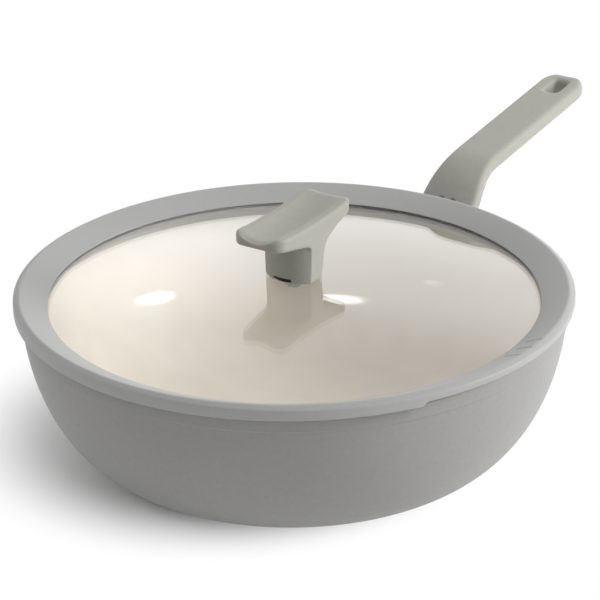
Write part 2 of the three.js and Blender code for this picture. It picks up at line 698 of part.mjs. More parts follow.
// Flanged sleeve that lines the hole in the glass from below.
function holeGrommet() {
  const sleeve = HOLE_RADIUS - CLEAR;
  const start = [FIXING_BORE, GROMMET_LOW];
  return turned(
    [
      start,
      [GROMMET_RADIUS, GROMMET_LOW],
      [GROMMET_RADIUS, GROMMET_TOP],
      [sleeve, GROMMET_TOP],
      [sleeve, APEX_Z - CLEAR],
      [FIXING_BORE, APEX_Z - CLEAR],
      start,
    ],
    SMALL_TURNS,
  );
}

const knobWasher = () =>
  ring(FIXING_BORE, KNOB_WASHER_RADIUS, KNOB_WASHER_LOW, GROMMET_LOW - CLEAR, SMALL_TURNS);

const knobScrew = () =>
  screw(
    KNOB_SCREW_RADIUS,
    KNOB_HEAD_RADIUS,
    KNOB_HEAD_THICK,
    KNOB_WASHER_LOW - CLEAR,
    KNOB_Z + INSERT_LOW + KNOB_SCREW_BITE,
  );

// Finishes
const finish = (color, roughness, metalness) =>
  new THREE.MeshStandardMaterial({ color, roughness, metalness });
const matteGrey = finish(0x8f8d87, 0.6, 0.1);
const softTouch = finish(0xa5a49b, 0.7, 0);
const silicone = finish(0xa9aaa9, 0.65, 0);
const clearSilicone = finish(0xdedcd2, 0.5, 0);
const rubber = finish(0x262625, 0.7, 0);
const steel = finish(0xbdbdba, 0.35, 1);
const aluminium = finish(0xb5b7b9, 0.45, 1);
const brass = finish(0xb4924e, 0.4, 1);
const glass = finish(0xdce6e2, 0.05, 0);
glass.transparent = true;
glass.opacity = 0.35;

function piece(name, geometry, material) {
  const mesh = new THREE.Mesh(geometry, material);
  mesh.name = name;
  return mesh;
}

// Assembly
const onTongue = tongueFrame();
const bracketPiece = piece("handle_bracket", handleBracket(onTongue), aluminium);
const handlePiece = piece("handle", handle(onTongue), softTouch);
const washerPiece = piece("handle_washer", handleWasher(), steel);
const screwPiece = piece("handle_screw", handleScrew(), steel);
washerPiece.position.x = HANDLE_SCREW_ALONG;
screwPiece.position.x = HANDLE_SCREW_ALONG;
onTongue.add(washerPiece, screwPiece);

const pan = new THREE.Group();
pan.add(
  piece("pan_body", panBody(), matteGrey),
  piece("induction_plate", inductionPlate(), steel),
  bracketPiece,
  handlePiece,
  onTongue,
);

const onGlass = new THREE.Group();
onGlass.position.z = KNOB_Z;
onGlass.add(
  piece("knob", knob(), softTouch),
  piece("knob_insert", knobInsert(), brass),
  piece("knob_gasket", knobGasket(), rubber),
);

const lid = new THREE.Group();
lid.add(
  piece("lid_rim", lidRim(), silicone),
  piece("lid_glass", lidGlass(), glass),
  onGlass,
  piece("hole_grommet", holeGrommet(), clearSilicone),
  piece("knob_washer", knobWasher(), steel),
  piece("knob_screw", knobScrew(), steel),
);

const wok = new THREE.Group();
wok.add(pan, lid);

export default wok;
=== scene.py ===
from math import acos, atan2, cos, hypot, pi, radians, sin, sqrt, tan

import bmesh
import bpy
from mathutils import Matrix, Vector


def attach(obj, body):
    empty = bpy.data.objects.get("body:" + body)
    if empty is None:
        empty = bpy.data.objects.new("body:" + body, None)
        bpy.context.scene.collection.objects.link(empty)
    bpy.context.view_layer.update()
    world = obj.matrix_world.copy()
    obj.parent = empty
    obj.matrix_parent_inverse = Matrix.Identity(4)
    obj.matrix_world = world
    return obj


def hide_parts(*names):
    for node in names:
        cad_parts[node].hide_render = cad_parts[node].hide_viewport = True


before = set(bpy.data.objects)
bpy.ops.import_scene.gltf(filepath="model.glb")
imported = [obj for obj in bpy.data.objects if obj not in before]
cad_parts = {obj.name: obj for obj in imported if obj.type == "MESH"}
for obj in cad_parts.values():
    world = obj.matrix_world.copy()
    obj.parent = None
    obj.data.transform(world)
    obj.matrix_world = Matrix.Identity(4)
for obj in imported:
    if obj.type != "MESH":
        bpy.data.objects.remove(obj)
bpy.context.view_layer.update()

# Pan: one aluminium blank pressed into a flat base, a wall that swells up to a plain band, and a
# rounded rim with a fine line rolled in under it. The outside is sprayed with a matt warm-grey coat,
# the inside and the rim with a satin cream ceramic.
MM = 0.001
CLEAR = 0.3  # gap between pieces that touch
PAN_RADIUS = 141.4  # outside of the band under the rim
PAN_HEIGHT = 87.6
BASE_RADIUS = 80.8  # flat of the base
BAND_HEIGHT = 10.6
BAND_PROUD = 0.6  # how far the band stands out from the wall
BAND_ROUND = 0.2
PAN_WALL = 3
PAN_FLOOR = 5
WALL_SWELL = 0.94  # how late the wall spreads from the base, 1 for an ellipse
WALL_ROUND = 0.97  # how late it turns upright, 1 for an ellipse
WALL_TURN = radians(81.3)  # how far it turns upright
WALL_STEPS = 44
RIM_ROUND = 1.47  # just under half the wall
LINE_Z = 84.6  # lower edge of the line under the rim
LINE_WIDTH = 0.9
LINE_DEPTH = 0.55
PLATE_RADIUS = 68
PLATE_THICK = 1.2
RECESS_RADIUS = PLATE_RADIUS + CLEAR
RECESS_DEPTH = PLATE_THICK + CLEAR
RECESS_ROUND = 0.3
INSIDE_FACING = 0.05  # how far a face turns in and up where the ceramic begins
GRAIN_LOW = 0.3  # most of a grain's values lie between these
GRAIN_HIGH = 0.7
PAN_TURNS = 256
STEP_Z = PAN_HEIGHT - BAND_HEIGHT
WALL_RADIUS = PAN_RADIUS - BAND_PROUD
MOUTH_RADIUS = PAN_RADIUS - PAN_WALL
WALL_REACH = sin(WALL_TURN)
WALL_LIFT = 1 - cos(WALL_TURN) ** WALL_ROUND


def mixed(low, high, share):
    return low + (high - low) * share


def wall_curve(base_z, base_radius, top_radius):
    """The curve of the wall, from its base up to the foot of the band."""
    points = []
    for i in range(WALL_STEPS + 1):
        t = i / WALL_STEPS * WALL_TURN
        points.append((
            mixed(base_radius, top_radius, (sin(t) / WALL_REACH) ** WALL_SWELL),
            mixed(base_z, STEP_Z, (1 - cos(t) ** WALL_ROUND) / WALL_LIFT),
        ))
    return points


def spun(outline, turns, segments=5):
    """Corners of (radius, height) or (radius, height, round), turned about the upright axis."""
    bm = bmesh.new()
    corners = [bm.verts.new((radius, 0, z)) for radius, z, *_ in outline]
    ends = corners[1:] + corners[:1] if outline[0][0] > 0 else corners[1:]
    for pair in zip(corners, ends):
        bm.edges.new(pair)
    for corner, (_, _, *rounding) in zip(corners, outline):
        if rounding:
            bmesh.ops.bevel(bm, geom=[corner], offset=rounding[0], segments=segments, profile=0.5,
                            affect="VERTICES", material=-1)
    bmesh.ops.spin(bm, geom=bm.verts[:] + bm.edges[:], cent=(0, 0, 0), axis=(0, 0, 1), angle=2 * pi,
                   steps=turns, use_merge=True)
    bmesh.ops.remove_doubles(bm, verts=bm.verts, dist=0.001)
    bmesh.ops.recalc_face_normals(bm, faces=bm.faces)
    return bm


def settled(name, bm, materials, crease=30):
    """A finished piece: its millimetres made metres, smooth but for edges sharper than the crease."""
    bmesh.ops.scale(bm, vec=(MM, MM, MM), verts=bm.verts)
    mesh = bpy.data.meshes.new(name)
    bm.to_mesh(mesh)
    bm.free()
    mesh.shade_smooth()
    mesh.set_sharp_from_angle(angle=radians(crease))
    for material in materials:
        mesh.materials.append(material)
    piece = bpy.data.objects.new(name, mesh)
    bpy.context.scene.collection.objects.link(piece)
    return piece


def finish(name, values):
    """A material with these values set on its shader."""
    material = bpy.data.materials.new(name)
    material.use_nodes = True
    for socket, value in values.items():
        material.node_tree.nodes["Principled BSDF"].inputs[socket].default_value = value
    return material


def linked(owner, kind, inputs, **settings):
    """A node of a material, a lamp or the room, with its inputs joined to other nodes or set to a value."""
    node = owner.node_tree.nodes.new(kind)
    for setting, value in settings.items():
        setattr(node, setting, value)
    for socket, value in inputs.items():
        if isinstance(value, bpy.types.NodeSocket):
            owner.node_tree.links.new(value, node.inputs[socket])
        else:
            node.inputs[socket].default_value = value
    return node


def grain(material, size, detail=2, stretch=(1, 1, 1)):
    """A cloudy pattern of grains about so many millimetres across, on the piece's own coordinates."""
    place = linked(material, "ShaderNodeTexCoord", {})
    drawn = linked(material, "ShaderNodeMapping", {"Vector": place.outputs["Object"], "Scale": stretch})
    noise = linked(material, "ShaderNodeTexNoise", {
        "Vector": drawn.outputs["Vector"], "Scale": 1 / (size * MM), "Detail": detail})
    return noise.outputs["Fac"]


def tinted(material, pattern, dark, light):
    """Runs the surface colour from dark to light along a pattern."""
    ramp = linked(material, "ShaderNodeValToRGB", {"Fac": pattern})
    for stop, position, colour in zip(ramp.color_ramp.elements, (GRAIN_LOW, GRAIN_HIGH), (dark, light)):
        stop.position = position
        stop.color = (*colour, 1)
    shader = material.node_tree.nodes["Principled BSDF"]
    material.node_tree.links.new(ramp.outputs["Color"], shader.inputs["Base Color"])


def roughened(material, pattern, low, high):
    """Runs the roughness along a pattern."""
    spread = linked(material, "ShaderNodeMapRange", {
        "Value": pattern, "From Min": GRAIN_LOW, "From Max": GRAIN_HIGH, "To Min": low, "To Max": high})
    shader = material.node_tree.nodes["Principled BSDF"]
    material.node_tree.links.new(spread.outputs["Result"], shader.inputs["Roughness"])


def toothed(material, pattern, depth, strength):
    """Raises a pattern from the surface by a depth in millimetres."""
    bump = linked(material, "ShaderNodeBump", {
        "Height": pattern, "Distance": depth * MM, "Strength": strength})
    shader = material.node_tree.nodes["Principled BSDF"]
    material.node_tree.links.new(bump.outputs["Normal"], shader.inputs["Normal"])


coat = finish("pan_grey_coat", {"Specular IOR Level": 0.4, "Diffuse Roughness": 0.4})
tinted(coat, grain(coat, 2.2, 4), (0.315, 0.311, 0.301), (0.330, 0.327, 0.316))
roughened(coat, grain(coat, 2.5, 3), 0.50, 0.58)
toothed(coat, grain(coat, 0.45, 2), 0.03, 0.35)

ceramic = finish("pan_cream_ceramic", {"Specular IOR Level": 0.35})
tinted(ceramic, grain(ceramic, 14, 5), (0.588, 0.539, 0.468), (0.628, 0.579, 0.502))
roughened(ceramic, grain(ceramic, 5, 3), 0.44, 0.54)
toothed(ceramic, grain(ceramic, 1.6, 2), 0.02, 0.3)

pan_bm = spun([
    (0, RECESS_DEPTH),
    (RECESS_RADIUS, RECESS_DEPTH),
    (RECESS_RADIUS, 0, RECESS_ROUND),
    *wall_curve(0, BASE_RADIUS, WALL_RADIUS),
    (PAN_RADIUS, STEP_Z + BAND_PROUD, BAND_ROUND),
    (PAN_RADIUS, LINE_Z),
    (PAN_RADIUS - LINE_DEPTH, LINE_Z + LINE_WIDTH / 4),
    (PAN_RADIUS - LINE_DEPTH, LINE_Z + LINE_WIDTH * 3 / 4),
    (PAN_RADIUS, LINE_Z + LINE_WIDTH),
    (PAN_RADIUS, PAN_HEIGHT, RIM_ROUND),
    (MOUTH_RADIUS, PAN_HEIGHT, RIM_ROUND),
    *reversed(wall_curve(PAN_FLOOR, BASE_RADIUS - PAN_WALL, MOUTH_RADIUS)),
    (0, PAN_FLOOR),
], PAN_TURNS)
pan_bm.normal_update()
for face in pan_bm.faces:
    middle = face.calc_center_median()
    inward_and_up = Vector((-middle.x, -middle.y, 0)).normalized() + Vector((0, 0, 1))
    within = middle.z > RECESS_DEPTH + CLEAR and middle.xy.length < PAN_RADIUS - LINE_DEPTH / 2
    face.material_index = int(within and face.normal.dot(inward_and_up) > INSIDE_FACING)
pan = settled("pan_shell", pan_bm, [coat, ceramic])
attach(pan, "pan")
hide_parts("pan_body")

# Induction plate: a disc of magnetic steel, pressed into the recess under the base.
# Its face is skimmed on a lathe after that, which leaves fine rings, and it stands level with the base.
PLATE_GROOVE = 0.25
PLATE_GROOVE_STEP = 8.5
PLATE_ROUND = 0.2
PLATE_TURNS = 128

turned_steel = finish("plate_turned_steel", {"Metallic": 1, "Specular IOR Level": 0.5, "Anisotropic": 0.4})
rings = linked(turned_steel, "ShaderNodeTexWave", {
    "Vector": linked(turned_steel, "ShaderNodeTexCoord", {}).outputs["Object"],
    "Scale": 400, "Distortion": 0.6, "Detail": 3}, wave_type="RINGS", rings_direction="Z")
tinted(turned_steel, rings.outputs["Fac"], (0.47, 0.47, 0.46), (0.58, 0.58, 0.57))
roughened(turned_steel, grain(turned_steel, 3), 0.28, 0.40)
toothed(turned_steel, rings.outputs["Fac"], 0.02, 0.4)

plate_face = [(0, 0)]
for groove in range(1, int(PLATE_RADIUS / PLATE_GROOVE_STEP)):
    radius = groove * PLATE_GROOVE_STEP
    plate_face += [(radius - 2 * PLATE_GROOVE, 0), (radius, PLATE_GROOVE), (radius + 2 * PLATE_GROOVE, 0)]
plate = settled("base_plate", spun([
    *plate_face,
    (PLATE_RADIUS, 0, PLATE_ROUND),
    (PLATE_RADIUS, PLATE_THICK),
    (0, PLATE_THICK),
], PLATE_TURNS), [turned_steel])
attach(plate, "pan")
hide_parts("induction_plate")

# Handle bracket: an aluminium casting welded to the pan's wall, a foot with a slanting tongue.
# The handle slides over it and hides it, so it keeps its plain form and only has its skin as cast.
cast = finish("bracket_cast_aluminium", {"Metallic": 1})
tinted(cast, grain(cast, 2.2, 4), (0.44, 0.44, 0.44), (0.54, 0.54, 0.54))
roughened(cast, grain(cast, 0.8), 0.45, 0.62)
toothed(cast, grain(cast, 0.6, 3), 0.08, 0.6)
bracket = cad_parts["handle_bracket"]
bracket.data.materials.clear()
bracket.data.materials.append(cast)

# Handle: moulded in soft-touch plastic. It leaves the wall at a slant, bends over and runs on as the
# grip, with a nearly flat top, a rounded belly and a hang slot. A screw from below draws it up to the
# bracket's tongue.
ROOT_TOP = 73.65  # height at which the top line leaves the wall
ROOT_RUN = 29  # from the wall out to the corner of the bend
ROOT_RISE = radians(46.2)
BEND_RADIUS = 45
GRIP_RISE = radians(7.3)
GRIP_RUN = 121  # from the corner of the bend out to the tip
ROOT_WIDTH = 35.2
GRIP_WIDTH = 26.5
ROOT_THICK = 28  # against the wall
BEND_THICK = 18  # where the bend begins
BEND_KEEL = 2.5  # how much the belly narrows downwards there, 1 for an ellipse
ROOT_CROWN = 1  # how far the root's top swells between its edges
GRIP_THICK = 12.3
GRIP_EDGE = 3  # round along the edges of the top
GRIP_SIDE = 3.3  # upright part of the sides
TIP_ROUND = 10.4  # length of the tip's round corners
TIP_CORNER = 7.5  # and their width
TIP_EDGE = 2  # round of the top at the tip
TIP_NOSE = 1.5  # height of the tip's end face
TIP_BOW = 15  # length over which the belly rises to it
SLOT_LENGTH = 15.6
SLOT_WIDTH = 9
SLOT_ROUND = 2.4
SLOT_INSET = 7  # tip to the end of the hang slot
SLOT_FLARE = 2.6  # round of its mouth
RELIEF_WIDTH = 3.1
RELIEF_DEPTH = 1.4
RELIEF_LENGTH = 28.8  # from the wall, along the tongue
RELIEF_APART = 7.3
TONGUE_DEPTH = 10  # top line to the middle of the bracket's tongue
TONGUE_LENGTH = 26.4
TONGUE_WIDTH = 14
TONGUE_THICK = 7.5
FOOT_WIDTH = 16
FOOT_HEIGHT = 13
FOOT_THICK = 3
HANDLE_SCREW_ALONG = 15.4  # from the wall, along the tongue
HANDLE_SCREW_RADIUS = 2.2
HANDLE_WASHER_RADIUS = 5
HANDLE_WEB = 2.2  # plastic between the tongue and the washer
HANDLE_VOXEL = 0.6
HANDLE_PASSES = 4
ROOT_STEPS = 12
BEND_STEPS = 24
GRIP_STEPS = 24
TIP_STEPS = 20
CROWN_STEPS = 8
BELLY_STEPS = 28
EDGE_STEPS = 6
FLARE_STEPS = 8
BORE_TURNS = 48
BEND_TANGENT = BEND_RADIUS * tan((ROOT_RISE - GRIP_RISE) / 2)
ROOT_LENGTH = ROOT_RUN / cos(ROOT_RISE) - BEND_TANGENT
BEND_LENGTH = BEND_RADIUS * (ROOT_RISE - GRIP_RISE)
GRIP_START = ROOT_LENGTH + BEND_LENGTH
HANDLE_LENGTH = GRIP_START + GRIP_RUN / cos(GRIP_RISE) - BEND_TANGENT
TIP_BELLY = GRIP_THICK - TIP_EDGE - TIP_NOSE
WASHER_SEAT = -TONGUE_THICK / 2 - HANDLE_WEB


def wall_radius_at(z):
    """Radius of the wall's outside at a height."""
    t = acos((1 - WALL_LIFT * z / STEP_Z) ** (1 / WALL_ROUND))
    return mixed(BASE_RADIUS, WALL_RADIUS, (sin(t) / WALL_REACH) ** WALL_SWELL)


def eased(value, low, high):
    share = min(max((value - low) / (high - low), 0), 1)
    return share * share * (3 - 2 * share)


def round_loss(radius, distance):
    """How far a round corner has fallen away, so far from its end."""
    return radius - sqrt(radius ** 2 - max(0, radius - distance) ** 2)


def top_line_at(along):
    """The handle's top line, so far along it from the wall: out, height and rise."""
    rise = ROOT_RISE - min(max(along - ROOT_LENGTH, 0), BEND_LENGTH) / BEND_RADIUS
    root, grip = min(along, ROOT_LENGTH), max(along - GRIP_START, 0)
    out = (wall_radius_at(ROOT_TOP) + root * cos(ROOT_RISE)
           + BEND_RADIUS * (sin(ROOT_RISE) - sin(rise)) + grip * cos(GRIP_RISE))
    height = (ROOT_TOP + root * sin(ROOT_RISE)
              + BEND_RADIUS * (cos(rise) - cos(ROOT_RISE)) + grip * sin(GRIP_RISE))
    return out, height, rise


def arc(across, up, radius, start, stop, steps, height=None):
    """Points of an arc, or of an ellipse where a height is given."""
    return [(across + radius * cos(mixed(start, stop, i / steps)),
             up + (radius if height is None else height) * sin(mixed(start, stop, i / steps)))
            for i in range(steps + 1)]


def handle_ring(along):
    """A ring round the handle: top with rounded edges, crowned at the root, and a rounded belly."""
    out, height, rise = top_line_at(along)
    to_tip = HANDLE_LENGTH - along
    width = mixed(ROOT_WIDTH, GRIP_WIDTH, eased(along, ROOT_LENGTH / 2, GRIP_START))
    half = width / 2 - TIP_CORNER / TIP_ROUND * round_loss(TIP_ROUND, to_tip)
    off_wall, bent = eased(along, 0, ROOT_LENGTH), eased(along, ROOT_LENGTH, GRIP_START)
    top = -round_loss(TIP_EDGE, to_tip)
    root_thick = mixed(ROOT_THICK, BEND_THICK, off_wall)
    bow_loss = TIP_BELLY / TIP_BOW * round_loss(TIP_BOW, to_tip)
    thick = mixed(root_thick, GRIP_THICK, bent) - bow_loss + top
    keel = 1 + (BEND_KEEL - 1) * off_wall * (1 - bent)
    edge = min(GRIP_EDGE, half, thick / 2)
    side = min(edge + GRIP_SIDE, thick - TIP_NOSE / 2)
    belly = arc(0, 0, 1, pi, 2 * pi, BELLY_STEPS)
    crown = [i / CROWN_STEPS for i in range(CROWN_STEPS - 1, -CROWN_STEPS, -1)]
    section = [
        *arc(half - edge, top - edge, edge, 0, pi / 2, EDGE_STEPS),
        *[((half - edge) * y, top + ROOT_CROWN * (1 - bent) * (1 - y ** 2)) for y in crown],
        *arc(edge - half, top - edge, edge, pi / 2, pi, EDGE_STEPS),
        *[(half * y, top - side - (thick - side) * abs(up) ** keel) for y, up in belly],
    ]
    lean = rise * off_wall
    return [Vector((out - up * sin(lean), y, height + up * cos(lean))) for y, up in section]


def drawn_through(rings):
    """A first ring of points extruded through the rings after it, and closed at both ends."""
    bm = bmesh.new()
    ring = [bm.verts.new(point) for point in rings[0]]
    for pair in zip(ring, ring[1:] + ring[:1]):
        bm.edges.new(pair)
    bm.faces.new(ring)
    for places in rings[1:]:
        edges = [bm.edges.get(pair) for pair in zip(ring, ring[1:] + ring[:1])]
        made = bmesh.ops.extrude_edge_only(bm, edges=edges)["geom"]
        fresh = {item for item in made if isinstance(item, bmesh.types.BMVert)}
        ring = [next(edge.other_vert(vert) for edge in vert.link_edges if edge.other_vert(vert) in fresh)
                for vert in ring]
        for vert, place in zip(ring, places):
            vert.co = place
    bm.faces.new(ring)
    bmesh.ops.recalc_face_normals(bm, faces=bm.faces)
    return bm


def block(low, high):
    """A box between two corners."""
    bm = bmesh.new()
    bmesh.ops.create_cube(bm, size=1)
    low, high = Vector(low), Vector(high)
    bmesh.ops.scale(bm, vec=high - low, verts=bm.verts)
    bmesh.ops.translate(bm, vec=(low + high) / 2, verts=bm.verts)
    return bm


def rounded_rectangle(length, width, corner, steps=8):
    x, y = length / 2 - corner, width / 2 - corner
    return [point for across, up, start in ((x, y, 0), (-x, y, 1), (-x, -y, 2), (x, -y, 3))
            for point in arc(across, up, corner, start * pi / 2, (start + 1) * pi / 2, steps)]


def loose(bm):
    """A bare object for modifiers to work on."""
    mesh = bpy.data.meshes.new("work")
    bm.to_mesh(mesh)
    bm.free()
    body = bpy.data.objects.new("work", mesh)
    bpy.context.scene.collection.objects.link(body)
    return body


def worked(body, *spent):
    """The mesh that an object's modifiers give; it and the spent tools are removed."""
    shaped = bpy.data.meshes.new_from_object(body.evaluated_get(bpy.context.evaluated_depsgraph_get()))
    bm = bmesh.new()
    bm.from_mesh(shaped)
    for done in (body, *spent):
        bpy.data.meshes.remove(done.data)
    bpy.data.meshes.remove(shaped)
    return bm


def carved(bm, *tools, operation="DIFFERENCE"):
    """A mesh with tools cut away from it, or joined to it, one after the other."""
    for tool in tools:
        body, knife = loose(bm), loose(tool)
        cut = body.modifiers.new("cut", "BOOLEAN")
        cut.operation, cut.solver, cut.object = operation, "EXACT", knife
        bm = worked(body, knife)
    return bm


def moulded(bm, voxel, passes):
    """The soft-edged skin of a moulding: the shape in small even faces, smoothed."""
    body = loose(bm)
    skin = body.modifiers.new("skin", "REMESH")
    skin.mode, skin.voxel_size = "VOXEL", voxel
    bm = worked(body)
    for _ in range(passes):
        bmesh.ops.smooth_vert(bm, verts=bm.verts, factor=0.5,
                              use_axis_x=True, use_axis_y=True, use_axis_z=True)
    return bm


soft_touch = finish("soft_touch_plastic", {"Specular IOR Level": 0.35, "Diffuse Roughness": 0.5})
tinted(soft_touch, grain(soft_touch, 2.5, 4), (0.378, 0.376, 0.337), (0.398, 0.396, 0.355))
roughened(soft_touch, grain(soft_touch, 1.5, 3), 0.52, 0.64)
toothed(soft_touch, grain(soft_touch, 0.3, 2), 0.02, 0.4)

stations = [
    *[mixed(0, ROOT_LENGTH, i / ROOT_STEPS) for i in range(ROOT_STEPS)],
    *[mixed(ROOT_LENGTH, GRIP_START, i / BEND_STEPS) for i in range(BEND_STEPS)],
    *[mixed(GRIP_START, HANDLE_LENGTH - TIP_ROUND, i / GRIP_STEPS) for i in range(GRIP_STEPS)],
    *[HANDLE_LENGTH - TIP_ROUND * (1 - sin(i / TIP_STEPS * pi / 2)) for i in range(TIP_STEPS + 1)],
]
handle_rings = [handle_ring(along) for along in stations]
behind_wall = wall_radius_at(ROOT_TOP) - ROOT_THICK
inside_wall = [Vector((behind_wall, point.y, point.z)) for point in handle_rings[0]]

out, height, _ = top_line_at(0)
on_axis = out + TONGUE_DEPTH * sin(ROOT_RISE)
tongue_z = height - TONGUE_DEPTH * cos(ROOT_RISE) - (on_axis - WALL_RADIUS) * tan(ROOT_RISE)
on_tongue = Matrix.Translation((WALL_RADIUS, 0, tongue_z)) @ Matrix.Rotation(-ROOT_RISE, 4, "Y")
on_screw = on_tongue @ Matrix.Translation((HANDLE_SCREW_ALONG, 0, 0))


def drill(radius, low, high):
    """A plain round tool about the upright axis."""
    return spun([(0, low), (radius, low), (radius, high), (0, high)], BORE_TURNS)


def placed(bm, matrix):
    bmesh.ops.transform(bm, matrix=matrix, verts=bm.verts)
    return bm


slot_out, slot_z, _ = top_line_at(HANDLE_LENGTH - SLOT_INSET - SLOT_LENGTH / 2)
slot_place = Matrix.Translation((slot_out, 0, slot_z)) @ Matrix.Rotation(-GRIP_RISE, 4, "Y")
slot_mouth = arc(SLOT_FLARE, -SLOT_FLARE, SLOT_FLARE, pi, pi / 2, FLARE_STEPS)
slot_rings = []
for grown, z in [(0, -2 * GRIP_THICK), *slot_mouth, (SLOT_FLARE, GRIP_THICK)]:
    plan = rounded_rectangle(SLOT_LENGTH + 2 * grown, SLOT_WIDTH + 2 * grown, SLOT_ROUND + grown)
    slot_rings.append([Vector((x, y, z)) for x, y in plan])
wall_and_gap = [(radius + CLEAR, z) for radius, z in wall_curve(0, BASE_RADIUS, WALL_RADIUS)]
pan_space = spun([(0, -PAN_FLOOR), *wall_and_gap, (0, STEP_Z)], PAN_TURNS)
foot_side, foot_reach = FOOT_WIDTH / 2 + CLEAR, FOOT_HEIGHT / 2 + CLEAR
foot_room = block((BASE_RADIUS, -foot_side, tongue_z - foot_reach),
                  (WALL_RADIUS + FOOT_THICK + CLEAR, foot_side, tongue_z + foot_reach))
tongue_side, tongue_reach = TONGUE_WIDTH / 2 + CLEAR, TONGUE_THICK / 2 + CLEAR
tongue_room = block((-TONGUE_THICK, -tongue_side, -tongue_reach),
                    (TONGUE_LENGTH + CLEAR, tongue_side, tongue_reach))
reliefs = [block((0, hand * RELIEF_APART / 2 - RELIEF_WIDTH / 2, TONGUE_DEPTH - RELIEF_DEPTH),
                 (RELIEF_LENGTH, hand * RELIEF_APART / 2 + RELIEF_WIDTH / 2, TONGUE_DEPTH + RELIEF_DEPTH))
           for hand in (-1, 1)]
bore = drill(HANDLE_SCREW_RADIUS + CLEAR, -ROOT_THICK, 0)
counterbore = drill(HANDLE_WASHER_RADIUS + CLEAR, -ROOT_THICK, WASHER_SEAT)
handle_bm = carved(
    drawn_through([inside_wall, *handle_rings]),
    pan_space,
    foot_room,
    placed(tongue_room, on_tongue),
    placed(drawn_through(slot_rings), slot_place),
    *[placed(relief, on_tongue) for relief in reliefs],
    placed(bore, on_screw),
    placed(counterbore, on_screw),
)
handle = settled("handle_grip", moulded(handle_bm, HANDLE_VOXEL, HANDLE_PASSES), [soft_touch], crease=180)
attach(handle, "pan")
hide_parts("handle")

# Handle screw and washer: plain steel, up the counterbore in the root's belly into the bracket's tongue.
# The pan head has a cross recess, and the washer spreads its load on the plastic.
HANDLE_SCREW_BITE = 7  # into the tongue
HANDLE_HEAD_RADIUS = 4.6
HANDLE_HEAD_THICK = 2.8
HANDLE_WASHER_THICK = 1
CROSS_LENGTH = 4.4
CROSS_WIDTH = 1.1
CROSS_DEPTH = 1.5
HEAD_ROUND = 1.4
HEAD_EDGE = 0.2
SCREW_TIP_ROUND = 0.8
WASHER_ROUND = 0.25
WASHER_BORE_ROUND = 0.15
SCREW_TURNS = 64
SMALL_ROUND_STEPS = 3
HANDLE_WASHER_LOW = WASHER_SEAT - CLEAR - HANDLE_WASHER_THICK
HANDLE_HEAD_TOP = HANDLE_WASHER_LOW - CLEAR

screw_steel = finish("screw_plain_steel", {"Metallic": 1})
tinted(screw_steel, grain(screw_steel, 1.5, 4), (0.48, 0.48, 0.47), (0.58, 0.58, 0.57))
roughened(screw_steel, grain(screw_steel, 0.6, 3, (1, 1, 4)), 0.24, 0.38)
toothed(screw_steel, grain(screw_steel, 0.25, 2), 0.01, 0.4)


def washer_form(bore_radius, radius, low, high):
    return spun([
        (bore_radius, low, WASHER_BORE_ROUND),
        (radius, low, WASHER_ROUND),
        (radius, high, WASHER_ROUND),
        (bore_radius, high, WASHER_BORE_ROUND),
    ], SCREW_TURNS, SMALL_ROUND_STEPS)


def screw_form(shank, head, head_thick, head_top, tip):
    """A pan-head screw with its head down: cross recess, plain shank and rounded tip."""
    low = head_top - head_thick
    bm = spun([
        (0, low),
        (head, low, HEAD_ROUND),
        (head, head_top, HEAD_EDGE),
        (shank, head_top),
        (shank, tip, SCREW_TIP_ROUND),
        (0, tip),
    ], SCREW_TURNS)
    arms = [block((-length / 2, -width / 2, low - CROSS_DEPTH), (length / 2, width / 2, low + CROSS_DEPTH))
            for length, width in ((CROSS_LENGTH, CROSS_WIDTH), (CROSS_WIDTH, CROSS_LENGTH))]
    return carved(bm, *arms)


handle_washer = settled("handle_washer_ring", placed(washer_form(
    HANDLE_SCREW_RADIUS + CLEAR, HANDLE_WASHER_RADIUS, HANDLE_WASHER_LOW, WASHER_SEAT - CLEAR,
), on_screw), [screw_steel])
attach(handle_washer, "pan")
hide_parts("handle_washer")

handle_screw = settled("handle_screw_steel", placed(screw_form(
    HANDLE_SCREW_RADIUS, HANDLE_HEAD_RADIUS, HANDLE_HEAD_THICK, HANDLE_HEAD_TOP,
    HANDLE_SCREW_BITE - TONGUE_THICK / 2), on_screw), [screw_steel])
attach(handle_screw, "pan")
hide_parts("handle_screw")

# Lid rim: a ring of grey silicone moulded round the edge of the glass. Its plug drops inside the pan,
# its seat rests on the rim and its skirt hangs outside. The skirt is cut back along one side for
# draining, under three shallow grooves.
LID_OVERHANG = 3.6  # lid's edge beyond the pan's band
EDGE_RISE = 4.2  # seat on the pan's rim to the lid's top edge
LAND_WIDTH = 3.2  # land outside the crest
LAND_FALL = 1.4  # its fall from the top edge
LAND_ROUND = 0.6
CREST_RISE = 0.5  # crest above the top edge
CREST_ROUND = 1
SKIRT_HEIGHT = 7.05
SKIRT_GAP = 1  # skirt to band
SKIRT_ROUND = 0.9
SKIRT_INNER_ROUND = 0.4
RING_WIDTH = 17.4  # lid's edge in to the glass
RING_DROP = 6  # fall of the ring's top towards the glass
LIP_THICK = 0.9  # lip over the glass
LIP_EDGE = 0.4  # at its very edge
LIP_ROUND = 0.2
LIP_UNDER_ROUND = 0.1
LIP_UNDERCUT = 2  # how far in from the edge it comes down to the glass
LIP_SETBACK = 0.9  # the lip under the glass ends this much further out
PLUG_GAP = 0.8  # plug to the pan's inner wall
PLUG_DEPTH = 9.7  # below the seat
PLUG_ROUND = 0.7
PLUG_INNER_ROUND = 0.3
DRAIN_BEARING = radians(-92.25)
DRAIN_SPAN = radians(57.5)
DRAIN_RISE = 2.2  # of the skirt's lower edge
DRAIN_RAMP = radians(1.3)
MARK_COUNT = 3
MARK_BEARING = radians(-90.5)
MARK_STEP = radians(4.35)
MARK_LENGTH = 11.6
MARK_WIDTH = 1.5
MARK_DEPTH = 0.4
